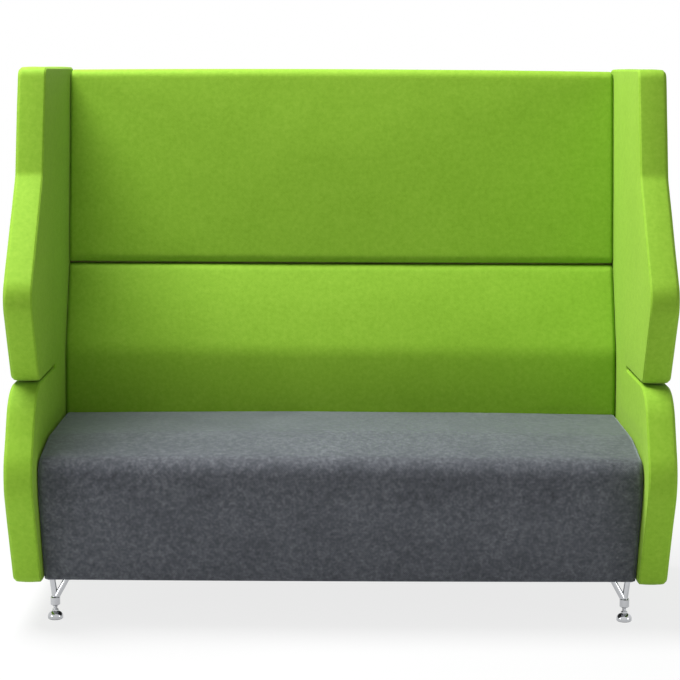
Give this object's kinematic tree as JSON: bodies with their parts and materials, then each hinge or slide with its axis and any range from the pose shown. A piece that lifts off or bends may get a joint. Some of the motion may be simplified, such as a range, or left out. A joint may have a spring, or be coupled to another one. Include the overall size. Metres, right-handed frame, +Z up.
{
  "type": "acoustic high-back sofa",
  "caption": "Upholstered high-back acoustic sofa with slit side wings that double as arms, a padded seat and short chrome legs on levelling feet.",
  "frame": {"origin": "on the floor, under the centre of the sofa's box", "axes": "+Z up, +X along the width, to the right as seen from the front; the sofa faces -Y"},
  "size_m": [1.6, 0.8399, 1.36],
  "materials": {
    "green_cloth": "lime-green woven wool cloth",
    "grey_wool": "mottled charcoal wool cloth",
    "foam": "cut polyurethane foam",
    "wadding": "acoustic fibre wadding",
    "webbing": "elastic upholstery webbing",
    "dust_cloth": "black spun dust cloth",
    "plywood": "raw birch plywood",
    "chrome": "polished chrome plate",
    "zinc_steel": "zinc-plated steel",
    "rubber": "black rubber"
  },
  "bodies": {
    "root": {"acoustic_infill": "wadding", "back_bottom_rail": "plywood", "back_centre_stile": "plywood", "back_mid_rail": "plywood", "back_seat_rail": "plywood", "back_stile_left": "plywood", "back_stile_right": "plywood", "back_top_rail": "plywood", "corner_blocks": "plywood", "dust_cloth": "dust_cloth", "leg_front_left": "chrome", "leg_front_right": "chrome", "leg_rear_left": "chrome", "leg_rear_right": "chrome", "leg_screws": "zinc_steel", "lumbar_cover": "green_cloth", "lumbar_foam": "foam", "lumbar_webbing": "webbing", "panel_bolts": "zinc_steel", "panel_tnuts": "zinc_steel", "panel_washers": "zinc_steel", "rear_board": "plywood", "rear_cover": "green_cloth", "seat_centre_rail": "plywood", "seat_cover": "grey_wool", "seat_foam": "foam", "seat_front_rail": "plywood", "seat_rear_rail": "plywood", "seat_side_rail_left": "plywood", "seat_side_rail_right": "plywood", "seat_webbing": "webbing", "side_core_left": "plywood", "side_core_right": "plywood", "side_cover_left": "green_cloth", "side_cover_right": "green_cloth", "side_foam_inner_left": "foam", "side_foam_inner_right": "foam", "side_foam_outer_left": "foam", "side_foam_outer_right": "foam", "upper_back_board": "plywood", "upper_back_cover": "green_cloth", "upper_back_foam": "foam"},
    "foot_front_left": {"foot_dome_front_left": "chrome", "foot_pad_front_left": "rubber"},
    "stud_front_left": {"foot_stud_front_left": "zinc_steel"},
    "foot_front_right": {"foot_dome_front_right": "chrome", "foot_pad_front_right": "rubber"},
    "stud_front_right": {"foot_stud_front_right": "zinc_steel"},
    "foot_rear_left": {"foot_dome_rear_left": "chrome", "foot_pad_rear_left": "rubber"},
    "stud_rear_left": {"foot_stud_rear_left": "zinc_steel"},
    "foot_rear_right": {"foot_dome_rear_right": "chrome", "foot_pad_rear_right": "rubber"},
    "stud_rear_right": {"foot_stud_rear_right": "zinc_steel"}
  },
  "joints": [
    {"name": "foot_front_left_lift", "type": "slide", "parent": "root", "child": "foot_front_left", "axis": [0, 0, 1], "range_m": [0, 0.0105]},
    {"name": "stud_front_left_turn", "type": "hinge", "parent": "foot_front_left", "child": "stud_front_left", "pos_m": [-0.708, -0.231, 0.02], "axis": [0, 0, 1], "range_deg": [0, 2521]},
    {"name": "foot_front_right_lift", "type": "slide", "parent": "root", "child": "foot_front_right", "axis": [0, 0, 1], "range_m": [0, 0.0105]},
    {"name": "stud_front_right_turn", "type": "hinge", "parent": "foot_front_right", "child": "stud_front_right", "pos_m": [0.708, -0.231, 0.02], "axis": [0, 0, 1], "range_deg": [0, 2521]},
    {"name": "foot_rear_left_lift", "type": "slide", "parent": "root", "child": "foot_rear_left", "axis": [0, 0, 1], "range_m": [0, 0.0105]},
    {"name": "stud_rear_left_turn", "type": "hinge", "parent": "foot_rear_left", "child": "stud_rear_left", "pos_m": [-0.708, 0.25464, 0.02], "axis": [0, 0, 1], "range_deg": [0, 2521]},
    {"name": "foot_rear_right_lift", "type": "slide", "parent": "root", "child": "foot_rear_right", "axis": [0, 0, 1], "range_m": [0, 0.0105]},
    {"name": "stud_rear_right_turn", "type": "hinge", "parent": "foot_rear_right", "child": "stud_rear_right", "pos_m": [0.708, 0.25464, 0.02], "axis": [0, 0, 1], "range_deg": [0, 2521]}
  ],
  "couplings": [
    {"joint": "stud_front_left_turn", "follows": "foot_front_left_lift", "rad_per_m": 4188.8},
    {"joint": "stud_front_right_turn", "follows": "foot_front_right_lift", "rad_per_m": 4188.8},
    {"joint": "stud_rear_left_turn", "follows": "foot_rear_left_lift", "rad_per_m": 4188.8},
    {"joint": "stud_rear_right_turn", "follows": "foot_rear_right_lift", "rad_per_m": 4188.8}
  ]
}
